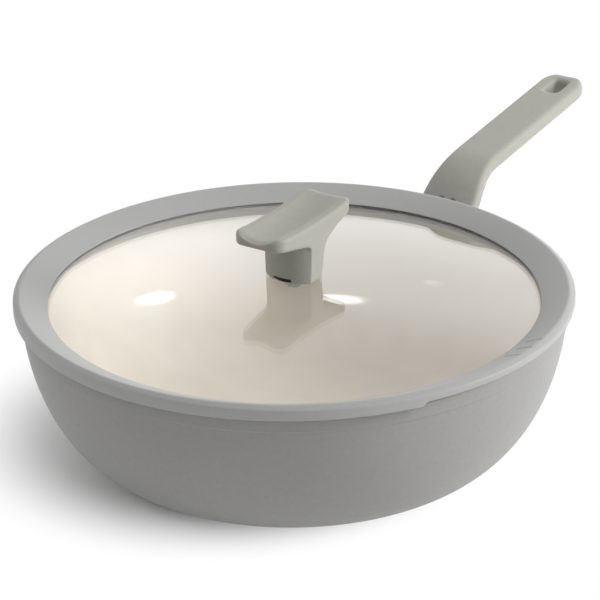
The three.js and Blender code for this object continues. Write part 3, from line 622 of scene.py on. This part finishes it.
MARK_INSET = 7.8  # lid's edge to the middle of a groove
MARK_SLANT = radians(-7)  # from the radius
GLASS_THICK = 4
GLASS_BITE = 4.5  # how far the glass reaches into the rim
DOME_RISE = 12.1  # ring's inner edge to the middle
RIM_TURNS = 600
SEAT_Z = PAN_HEIGHT + CLEAR
EDGE_Z = SEAT_Z + EDGE_RISE
SKIRT_Z = EDGE_Z - SKIRT_HEIGHT
LIP_Z = EDGE_Z - RING_DROP
LID_RADIUS = PAN_RADIUS + LID_OVERHANG
SKIRT_RADIUS = PAN_RADIUS + SKIRT_GAP
RING_RADIUS = LID_RADIUS - RING_WIDTH
RING_SLOPE = atan2(RING_DROP + CREST_RISE, RING_WIDTH - LAND_WIDTH)
GLASS_RADIUS = RING_RADIUS + GLASS_BITE
DOME_RADIUS = (RING_RADIUS ** 2 + DOME_RISE ** 2) / (2 * DOME_RISE)
APEX_Z = LIP_Z - LIP_THICK - CLEAR + DOME_RISE


def dome_z(radius, above=0):
    """Height of the glass dome's top at a radius, or of a surface so far above it."""
    return APEX_Z - DOME_RADIUS + sqrt((DOME_RADIUS + above) ** 2 - radius ** 2)


silicone = finish("rim_grey_silicone", {"Specular IOR Level": 0.4, "Diffuse Roughness": 0.5})
tinted(silicone, grain(silicone, 3, 4), (0.410, 0.410, 0.407), (0.425, 0.425, 0.421))
roughened(silicone, grain(silicone, 3, 3), 0.46, 0.58)
toothed(silicone, grain(silicone, 0.5, 2), 0.02, 0.35)

plug_radius = MOUTH_RADIUS - PLUG_GAP
plug_inner = RING_RADIUS + LIP_SETBACK
plug_low = SEAT_Z - PLUG_DEPTH
undercut_radius = RING_RADIUS + LIP_UNDERCUT
groove_radius = GLASS_RADIUS + CLEAR
rim_bm = spun([
    (plug_inner, plug_low, PLUG_INNER_ROUND),
    (plug_radius, plug_low, PLUG_ROUND),
    (plug_radius, SEAT_Z),
    (SKIRT_RADIUS, SEAT_Z),
    (SKIRT_RADIUS, SKIRT_Z, SKIRT_INNER_ROUND),
    (LID_RADIUS, SKIRT_Z, SKIRT_ROUND),
    (LID_RADIUS, EDGE_Z - LAND_FALL, LAND_ROUND),
    (LID_RADIUS - LAND_WIDTH, EDGE_Z + CREST_RISE, CREST_ROUND),
    (RING_RADIUS, LIP_Z, LIP_ROUND),
    (RING_RADIUS, LIP_Z - LIP_EDGE, LIP_UNDER_ROUND),
    (undercut_radius, dome_z(undercut_radius, CLEAR)),
    (groove_radius, dome_z(groove_radius, CLEAR)),
    (groove_radius, dome_z(groove_radius, -GLASS_THICK - CLEAR)),
    (plug_inner, dome_z(plug_inner, -GLASS_THICK - CLEAR)),
], RIM_TURNS)
for vert in rim_bm.verts:
    off_middle = (atan2(vert.co.y, vert.co.x) - DRAIN_BEARING + pi) % (2 * pi) - pi
    into_gap = eased(DRAIN_SPAN / 2 - abs(off_middle), 0, DRAIN_RAMP)
    out_on_skirt = hypot(vert.co.x, vert.co.y) > SKIRT_RADIUS - CLEAR
    if out_on_skirt and vert.co.z < SKIRT_Z + SKIRT_ROUND + CLEAR:
        vert.co.z += DRAIN_RISE * into_gap
mark_radius = LID_RADIUS - MARK_INSET
mark_z = LIP_Z + (mark_radius - RING_RADIUS) * tan(RING_SLOPE)
mark_bore = ((MARK_WIDTH / 2) ** 2 + MARK_DEPTH ** 2) / (2 * MARK_DEPTH)
on_ring = (Matrix.Translation((mark_radius, 0, mark_z)) @ Matrix.Rotation(-RING_SLOPE, 4, "Y")
           @ Matrix.Rotation(MARK_SLANT, 4, "Z") @ Matrix.Translation((0, 0, mark_bore - MARK_DEPTH))
           @ Matrix.Rotation(pi / 2, 4, "Y"))
marks = [placed(
    drill(mark_bore, -MARK_LENGTH / 2, MARK_LENGTH / 2),
    Matrix.Rotation(MARK_BEARING + (i - (MARK_COUNT - 1) / 2) * MARK_STEP, 4, "Z") @ on_ring,
) for i in range(MARK_COUNT)]
rim = settled("lid_rim_ring", carved(rim_bm, *marks), [silicone])
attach(rim, "lid")
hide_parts("lid_rim")

# Lid glass: a shallow dome of clear tempered glass, sagged in a mould and ground at the edge.
# It is held in the rim's groove, and drilled in the middle for the knob's screw.
HOLE_RADIUS = 4
DOME_STEPS = 36
GLASS_TURNS = 240

clear_glass = finish("clear_tempered_glass", {
    "Base Color": (0.985, 0.985, 0.98, 1), "Roughness": 0.0, "IOR": 1.5, "Transmission Weight": 1})
glass_tree = clear_glass.node_tree
lit_through = linked(clear_glass, "ShaderNodeBsdfTransparent", {"Color": (0.9, 0.9, 0.89, 1)})
ray = linked(clear_glass, "ShaderNodeLightPath", {})
glass_mix = linked(clear_glass, "ShaderNodeMixShader", {
    0: ray.outputs["Is Shadow Ray"],
    1: glass_tree.nodes["Principled BSDF"].outputs["BSDF"],
    2: lit_through.outputs["BSDF"]})
glass_tree.links.new(glass_mix.outputs["Shader"], glass_tree.nodes["Material Output"].inputs["Surface"])

radii = [mixed(HOLE_RADIUS, GLASS_RADIUS, i / DOME_STEPS) for i in range(DOME_STEPS + 1)]
glass_bm = spun([
    *[(radius, dome_z(radius, -GLASS_THICK)) for radius in radii],
    *[(radius, dome_z(radius)) for radius in reversed(radii)],
], GLASS_TURNS)
glass = settled("lid_glass_dome", glass_bm, [clear_glass])
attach(glass, "lid")
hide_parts("lid_glass")

# Fixing under the glass: a grommet of milky silicone lines the hole, and a steel washer and screw draw
# the knob down on it. All three are bought parts, seen when the lid is lifted.
INSERT_LENGTH = 12
GASKET_THICK = 2
KNOB_SCREW_RADIUS = 2.2
KNOB_SCREW_BITE = 10  # into the insert
KNOB_HEAD_RADIUS = 3.8
KNOB_HEAD_THICK = 1.8
GROMMET_RADIUS = 6.4
GROMMET_THICK = 0.8
GROMMET_ROUND = 0.3
GROMMET_EDGE = 0.2
KNOB_WASHER_RADIUS = 5.4
KNOB_WASHER_THICK = 0.8
KNOB_Z = APEX_Z + CLEAR
INSERT_LOW = GASKET_THICK + 2 * CLEAR
GROMMET_TOP = dome_z(GROMMET_RADIUS, -GLASS_THICK) - CLEAR
GROMMET_LOW = GROMMET_TOP - GROMMET_THICK
KNOB_WASHER_LOW = GROMMET_LOW - CLEAR - KNOB_WASHER_THICK
FIXING_BORE = KNOB_SCREW_RADIUS + CLEAR

milky = finish("grommet_milky_silicone", {"Specular IOR Level": 0.4})
tinted(milky, grain(milky, 2, 4), (0.60, 0.58, 0.52), (0.66, 0.64, 0.58))
roughened(milky, grain(milky, 1.5, 3), 0.40, 0.52)
toothed(milky, grain(milky, 0.4, 2), 0.02, 0.4)

grommet = settled("hole_grommet_sleeve", spun([
    (FIXING_BORE, GROMMET_LOW),
    (GROMMET_RADIUS, GROMMET_LOW, GROMMET_ROUND),
    (GROMMET_RADIUS, GROMMET_TOP, GROMMET_EDGE),
    (HOLE_RADIUS - CLEAR, GROMMET_TOP),
    (HOLE_RADIUS - CLEAR, APEX_Z - CLEAR, GROMMET_EDGE),
    (FIXING_BORE, APEX_Z - CLEAR),
], SCREW_TURNS, SMALL_ROUND_STEPS), [milky])
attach(grommet, "lid")
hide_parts("hole_grommet")

knob_washer = settled("knob_washer_ring", washer_form(
    FIXING_BORE, KNOB_WASHER_RADIUS, KNOB_WASHER_LOW, GROMMET_LOW - CLEAR), [screw_steel])
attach(knob_washer, "lid")
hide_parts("knob_washer")

knob_screw = settled("knob_screw_steel", screw_form(
    KNOB_SCREW_RADIUS, KNOB_HEAD_RADIUS, KNOB_HEAD_THICK, KNOB_WASHER_LOW - CLEAR,
    KNOB_Z + INSERT_LOW + KNOB_SCREW_BITE), [screw_steel])
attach(knob_screw, "lid")
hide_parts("knob_screw")

# Gasket and insert: a black rubber disc between knob and glass, and a knurled brass nut moulded into
# the knob. Both sit in the knob's foot, so they keep their plain forms. The gasket's edge shows dark in
# the notch there.
brass = finish("insert_knurled_brass", {"Metallic": 1})
tinted(brass, grain(brass, 1.2, 4), (0.52, 0.36, 0.14), (0.64, 0.47, 0.21))
roughened(brass, grain(brass, 0.5, 3), 0.30, 0.46)
toothed(brass, grain(brass, 0.4, 2, (1, 1, 0.2)), 0.1, 0.7)
rubber = finish("gasket_black_rubber", {"Specular IOR Level": 0.3})
tinted(rubber, grain(rubber, 1.5, 4), (0.016, 0.016, 0.015), (0.024, 0.024, 0.022))
roughened(rubber, grain(rubber, 0.8, 3), 0.6, 0.75)
toothed(rubber, grain(rubber, 0.3, 2), 0.02, 0.4)
for node, material in (("knob_insert", brass), ("knob_gasket", rubber)):
    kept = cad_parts[node]
    kept.data.materials.clear()
    kept.data.materials.append(material)

# Knob: moulded in the same soft-touch plastic as the handle. Two legs, which spread towards the handle,
# and a swelling stem carry a plate that curves up to both ends. A trough for the fingers runs along its
# top and out towards the handle, and a notch in its foot lets steam out.
KNOB_LENGTH = 69
KNOB_WIDTH = 29.6
KNOB_HEIGHT = 34.2  # foot to the plate's ends, halfway between the two
KNOB_RISE = 2  # how much higher the end towards the handle stands
KNOB_DIP = 1.9  # fall of the plate's rims from the ends to the middle
TROUGH_WIDTH = 20.8  # between the rims
TROUGH_DEPTH = 3
TROUGH_RUN_OUT = 0.8  # share of the depth that is lost at the end towards the handle
RUN_OUT_BEND = 1.5  # how late it is lost, 1 for a straight run
KNOB_END = 6.9  # thickness at the ends
KNOB_ARCH = 20.4  # foot to the plate's underside beside the stem
KNOB_CORNER = 7  # corner radius of the plate, seen from above
KNOB_EDGE = 1.6  # round along the edges of the top
KNOB_NOSE = 5  # length of the top's round at the ends
KNOB_FALL = 3  # and its height
KNOB_UNDER = 2  # round along the edges of the underside
STEM_WIDTH = 28.4  # across the two legs at the foot
STEM_FOOT = 10.4  # thickness of the legs there
STEM_HEAD = 13  # and where they spread into the plate, towards the handle
STEM_SPREAD = 10  # height at which they begin to spread
STEM_FILLET = 2.5  # where their other side meets the plate
STEM_BARREL = 23.4  # thickness of the stem at its middle
NOTCH_WIDTH = 10.5
NOTCH_HEIGHT = 2.2
NOTCH_DEPTH = 6
GASKET_RADIUS = 10.6
INSERT_RADIUS = 3.5
KNOB_VOXEL = 0.45
KNOB_PASSES = 3
KNOB_STEPS = 28
KNOB_END_STEPS = 10
TROUGH_STEPS = 12
UNDER_STEPS = 5
SPREAD_STEPS = 16
FILLET_STEPS = 8
BARREL_STEPS = 24
STEM_TOP = KNOB_ARCH + KNOB_END / 2
half_length, half_head = KNOB_LENGTH / 2, STEM_HEAD / 2


def prism(outline, low, high):
    """A flat outline raised between two heights."""
    bm = bmesh.new()
    face = bm.faces.new([bm.verts.new((x, y, low)) for x, y in outline])
    raised = bmesh.ops.extrude_face_region(bm, geom=[face])["geom"]
    bmesh.ops.translate(bm, vec=(0, 0, high - low),
                        verts=[item for item in raised if isinstance(item, bmesh.types.BMVert)])
    bmesh.ops.recalc_face_normals(bm, faces=bm.faces)
    return bm


def plate_ring(x):
    """A ring round the knob's plate, square to its length: flat rims, and the trough between."""
    to_end = half_length - abs(x)
    tilt = KNOB_RISE * x / KNOB_LENGTH
    side = KNOB_WIDTH / 2 - round_loss(KNOB_CORNER, to_end)
    fall = KNOB_FALL / KNOB_NOSE * round_loss(KNOB_NOSE, to_end)
    top = KNOB_HEIGHT + tilt - KNOB_DIP * (1 - (x / half_length) ** 2) - fall
    beyond_stem = max(0, abs(x) - half_head) / (half_length - half_head)
    low = mixed(KNOB_ARCH, KNOB_HEIGHT + tilt - KNOB_END, beyond_stem) + round_loss(KNOB_UNDER, to_end)
    edge, under = min(KNOB_EDGE, (top - low) / 2), min(KNOB_UNDER, (top - low) / 3)
    run_out = TROUGH_RUN_OUT * max(0, x / half_length) ** RUN_OUT_BEND
    rim, depth = side - edge, min(TROUGH_DEPTH * (1 - run_out), (top - low) / 2)
    inner = min(TROUGH_WIDTH / 2, rim - CLEAR)
    trough = [1 - i / TROUGH_STEPS for i in range(2 * TROUGH_STEPS + 1)]
    section = [
        *arc(side - under, low + under, under, -pi / 2, 0, UNDER_STEPS),
        *arc(rim, top - edge, edge, 0, pi / 2, EDGE_STEPS),
        *[(inner * y, top - depth * (1 - y ** 2)) for y in trough],
        *arc(-rim, top - edge, edge, pi / 2, pi, EDGE_STEPS),
        *arc(under - side, low + under, under, pi, 1.5 * pi, UNDER_STEPS),
    ]
    return [Vector((x, y, z)) for y, z in section]


def bow(start, control, stop, steps):
    """Points of a bow from start to stop, pulled towards a control point; the start is left out."""
    return [tuple(mixed(mixed(a, b, i / steps), mixed(b, c, i / steps), i / steps)
                  for a, b, c in zip(start, control, stop)) for i in range(1, steps + 1)]


flat = half_length - KNOB_CORNER
end = [half_length - KNOB_CORNER * (1 - sin(i / KNOB_END_STEPS * pi / 2)) for i in range(KNOB_END_STEPS + 1)]
between = [mixed(-flat, flat, i / KNOB_STEPS) for i in range(1, KNOB_STEPS)]
places = [*[-x for x in reversed(end)], *between, *end]
spread = KNOB_ARCH - STEM_SPREAD
spread_z = mixed(KNOB_ARCH, KNOB_HEIGHT - KNOB_END, spread / (half_length - half_head))
leg, side = STEM_FOOT / 2, STEM_WIDTH / 2
fillet_top, fillet_foot = (-leg - STEM_FILLET, KNOB_ARCH + CLEAR), (-leg, KNOB_ARCH - STEM_FILLET)
legs_view = [
    (-leg, 0),
    (leg, 0),
    (half_head, STEM_SPREAD),
    *bow((half_head, STEM_SPREAD), (half_head, KNOB_ARCH), (half_head + spread, spread_z), SPREAD_STEPS),
    (half_head + spread, STEM_TOP),
    (-leg - STEM_FILLET, STEM_TOP),
    fillet_top,
    *bow(fillet_top, (-leg, KNOB_ARCH), fillet_foot, FILLET_STEPS),
]
swell = STEM_BARREL - leg
barrel_plan = [
    (leg, -side),
    *bow((leg, -side), (swell, 0), (leg, side), BARREL_STEPS),
    (-leg, side),
    *bow((-leg, side), (-swell, 0), (-leg, -side), BARREL_STEPS),
]
legs = placed(prism(legs_view, -side, side), Matrix.Rotation(pi / 2, 4, "X"))
for vert in legs.verts:
    vert.co.y *= mixed(1, KNOB_WIDTH / STEM_WIDTH, min(vert.co.z / KNOB_ARCH, 1))
knob_bm = carved(
    drawn_through([plate_ring(x) for x in places]),
    legs,
    prism(barrel_plan, 0, STEM_TOP),
    operation="UNION",
)
knob_bm = carved(
    knob_bm,
    block((-STEM_BARREL / 2 - NOTCH_DEPTH, -NOTCH_WIDTH / 2, -NOTCH_HEIGHT),
          (NOTCH_DEPTH - STEM_BARREL / 2, NOTCH_WIDTH / 2, NOTCH_HEIGHT)),
    drill(GASKET_RADIUS + CLEAR, -GASKET_THICK, GASKET_THICK + CLEAR),
    drill(INSERT_RADIUS + CLEAR, 0, INSERT_LOW + INSERT_LENGTH + CLEAR),
)
knob_bm = placed(moulded(knob_bm, KNOB_VOXEL, KNOB_PASSES), Matrix.Translation((0, 0, KNOB_Z)))
knob = settled("lid_knob", knob_bm, [soft_touch], crease=180)
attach(knob, "lid")
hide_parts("knob")

# Floor: a wide white sheet that the pan stands on. It takes the soft shadow near the pan and runs out
# to plain white.
FLOOR_HALF = 4000
FLOOR_SQUARES = 8
SHADOW_FULL = 85  # radius of the full shadow
SHADOW_END = 150  # radius at which it has run out
SHADOW_MIDDLE = Vector((-6, 44, 0))  # to the side away from the light


def background_seen(owner):
    """1 for the rays that show the background itself: straight, in a reflection or through glass."""
    ray = linked(owner, "ShaderNodeLightPath", {})
    straight = linked(owner, "ShaderNodeMath", {
        0: ray.outputs["Is Camera Ray"], 1: ray.outputs["Is Glossy Ray"]}, operation="MAXIMUM")
    through = linked(owner, "ShaderNodeMath", {
        0: straight.outputs[0], 1: ray.outputs["Is Transmission Ray"]}, operation="MAXIMUM")
    return through.outputs[0]


floor_white = finish("floor_white", {"Base Color": (0.92, 0.92, 0.92, 1), "Roughness": 0.7})
floor_tree = floor_white.node_tree
on_floor = linked(floor_white, "ShaderNodeTexCoord", {})
from_middle = linked(floor_white, "ShaderNodeVectorMath", {
    0: on_floor.outputs["Object"], 1: SHADOW_MIDDLE * MM}, operation="DISTANCE")
shadow_out = linked(floor_white, "ShaderNodeMapRange", {
    "Value": from_middle.outputs["Value"], "From Min": SHADOW_FULL * MM, "From Max": SHADOW_END * MM},
    interpolation_type="SMOOTHSTEP")
white_share = linked(floor_white, "ShaderNodeMath", {
    0: background_seen(floor_white), 1: shadow_out.outputs["Result"]}, operation="MULTIPLY")
plain_white = linked(floor_white, "ShaderNodeEmission", {"Color": (1, 1, 1, 1), "Strength": 1})
floor_mix = linked(floor_white, "ShaderNodeMixShader", {
    0: white_share.outputs[0],
    1: floor_tree.nodes["Principled BSDF"].outputs["BSDF"],
    2: plain_white.outputs["Emission"]})
floor_tree.links.new(floor_mix.outputs["Shader"], floor_tree.nodes["Material Output"].inputs["Surface"])
floor_bm = bmesh.new()
bmesh.ops.create_grid(floor_bm, x_segments=FLOOR_SQUARES, y_segments=FLOOR_SQUARES, size=FLOOR_HALF)
floor = settled("floor_sheet", floor_bm, [floor_white])

# Light: a tall soft box low on the right, weak ones overhead and on the left, and a plain white room that
# is brighter to the right. Behind the lid, a wide panel and three small lamps are mirrored in the glass;
# those and the left one fade towards their edges.
CAMERA_BEARING = radians(55.5)  # of its line of sight, from +Y towards +X
PHOTO_RIGHT = Vector((cos(CAMERA_BEARING), -sin(CAMERA_BEARING), 0))
PHOTO_AWAY = Vector((sin(CAMERA_BEARING), cos(CAMERA_BEARING), 0))
UP = Vector((0, 0, 1))
LID_MIDDLE = EDGE_Z * MM * UP
FACE_MIDDLE = (0.5, 0.5, 0)  # of a lamp, which is 1 wide in its own measure
FADE_FROM = 0.2  # distance from that middle, in the same measure
FADE_TO = 0.5
ROOM_DIM = 0.35  # strength of the room's light on its dim side
ROOM_BRIGHT = 0.63  # and on its bright side
ROOM_BRIGHT_SIDE = 0.97 * PHOTO_RIGHT + 0.22 * PHOTO_AWAY  # right, and a little behind


def soft_box(name, towards, distance, width, depth, watts):
    """An area lamp, in metres, that faces the lid from so far right, away and up in the picture."""
    lamp = bpy.data.lights.new(name, "AREA")
    lamp.shape, lamp.size, lamp.size_y, lamp.energy = "ELLIPSE", width, depth, watts
    right, away, up = towards
    facing = (right * PHOTO_RIGHT + away * PHOTO_AWAY + up * UP).normalized()
    holder = bpy.data.objects.new(name, lamp)
    holder.location = LID_MIDDLE + distance * facing
    holder.rotation_euler = facing.to_track_quat("Z", "Y").to_euler()
    bpy.context.scene.collection.objects.link(holder)
    return lamp


def fading(lamp):
    """Dims a lamp's face smoothly from its middle to its edge."""
    lamp.use_nodes = True
    face = linked(lamp, "ShaderNodeNewGeometry", {})
    off_middle = linked(lamp, "ShaderNodeVectorMath", {
        0: face.outputs["Parametric"], 1: FACE_MIDDLE}, operation="DISTANCE")
    fade = linked(lamp, "ShaderNodeMapRange", {
        "Value": off_middle.outputs["Value"], "From Min": FADE_FROM, "From Max": FADE_TO,
        "To Min": 1, "To Max": 0}, interpolation_type="SMOOTHSTEP")
    lamp.node_tree.links.new(fade.outputs["Result"], lamp.node_tree.nodes["Emission"].inputs["Strength"])


soft_box("key_box", towards=(0.92, -0.1, 0.38), distance=1.4, width=0.4, depth=0.9, watts=17.2)
soft_box("top_box", towards=(0, -0.05, 1), distance=1.5, width=1.2, depth=1.2, watts=2.5)
fading(soft_box("left_box", towards=(-0.9, 0.35, 0.3), distance=1.4, width=0.8, depth=0.8, watts=7))
fading(soft_box("back_panel", towards=(0.23, 0.922, 0.309), distance=1.5, width=2.5, depth=1.2, watts=4.1))
fading(soft_box("left_spot", towards=(-0.187, 0.882, 0.431), distance=1.5,
                width=0.098, depth=0.08, watts=0.085))
fading(soft_box("middle_spot", towards=(0.059, 0.87, 0.489), distance=1.5,
                width=0.15, depth=0.063, watts=0.085))
fading(soft_box("right_spot", towards=(0.181, 0.903, 0.389), distance=1.5,
                width=0.05, depth=0.03, watts=0.0025))

room = bpy.data.worlds.new("room")
bpy.context.scene.world = room
room.use_nodes = True
outlook = linked(room, "ShaderNodeTexCoord", {})
to_bright_side = linked(room, "ShaderNodeVectorMath", {
    0: outlook.outputs["Generated"], 1: ROOM_BRIGHT_SIDE}, operation="DOT_PRODUCT")
room_light = linked(room, "ShaderNodeMapRange", {
    "Value": to_bright_side.outputs["Value"], "From Min": -1, "To Min": ROOM_DIM, "To Max": ROOM_BRIGHT})
room_strength = linked(room, "ShaderNodeMapRange", {
    "Value": background_seen(room), "To Min": room_light.outputs["Result"], "To Max": 1})
white_room = room.node_tree.nodes["Background"]
white_room.inputs["Color"].default_value = (1, 1, 1, 1)
room.node_tree.links.new(room_strength.outputs["Result"], white_room.inputs["Strength"])

# Camera: a long lens well above the rim, looking down on the pan with the handle going off to the
# upper right.
CAMERA_RISE = radians(23.738)
CAMERA_DISTANCE = 1400
CAMERA_ROLL = radians(-0.8072)
CAMERA_LENS = 162.45
SENSOR_WIDTH = 36
AIM_RIGHT = 2.989  # from the lid's middle to the middle of the picture
AIM_UP = -8.449
back = sin(CAMERA_RISE) * UP - cos(CAMERA_RISE) * PHOTO_AWAY
eye = LID_MIDDLE + CAMERA_DISTANCE * MM * back
aim = LID_MIDDLE + AIM_RIGHT * MM * PHOTO_RIGHT + AIM_UP * MM * PHOTO_RIGHT.cross(-back)
forward = (aim - eye).normalized()
level = forward.cross(UP).normalized()
raised = level.cross(forward)
turn = Matrix((
    cos(CAMERA_ROLL) * level + sin(CAMERA_ROLL) * raised,
    -sin(CAMERA_ROLL) * level + cos(CAMERA_ROLL) * raised,
    -forward,
)).transposed()
camera_data = bpy.data.cameras.new("camera")
camera_data.sensor_width = SENSOR_WIDTH
camera_data.lens = CAMERA_LENS
camera = bpy.data.objects.new("camera", camera_data)
camera.matrix_world = Matrix.Translation(eye) @ turn.to_4x4()
bpy.context.scene.collection.objects.link(camera)
bpy.context.scene.camera = camera
bpy.context.scene.view_settings.view_transform = "Standard"
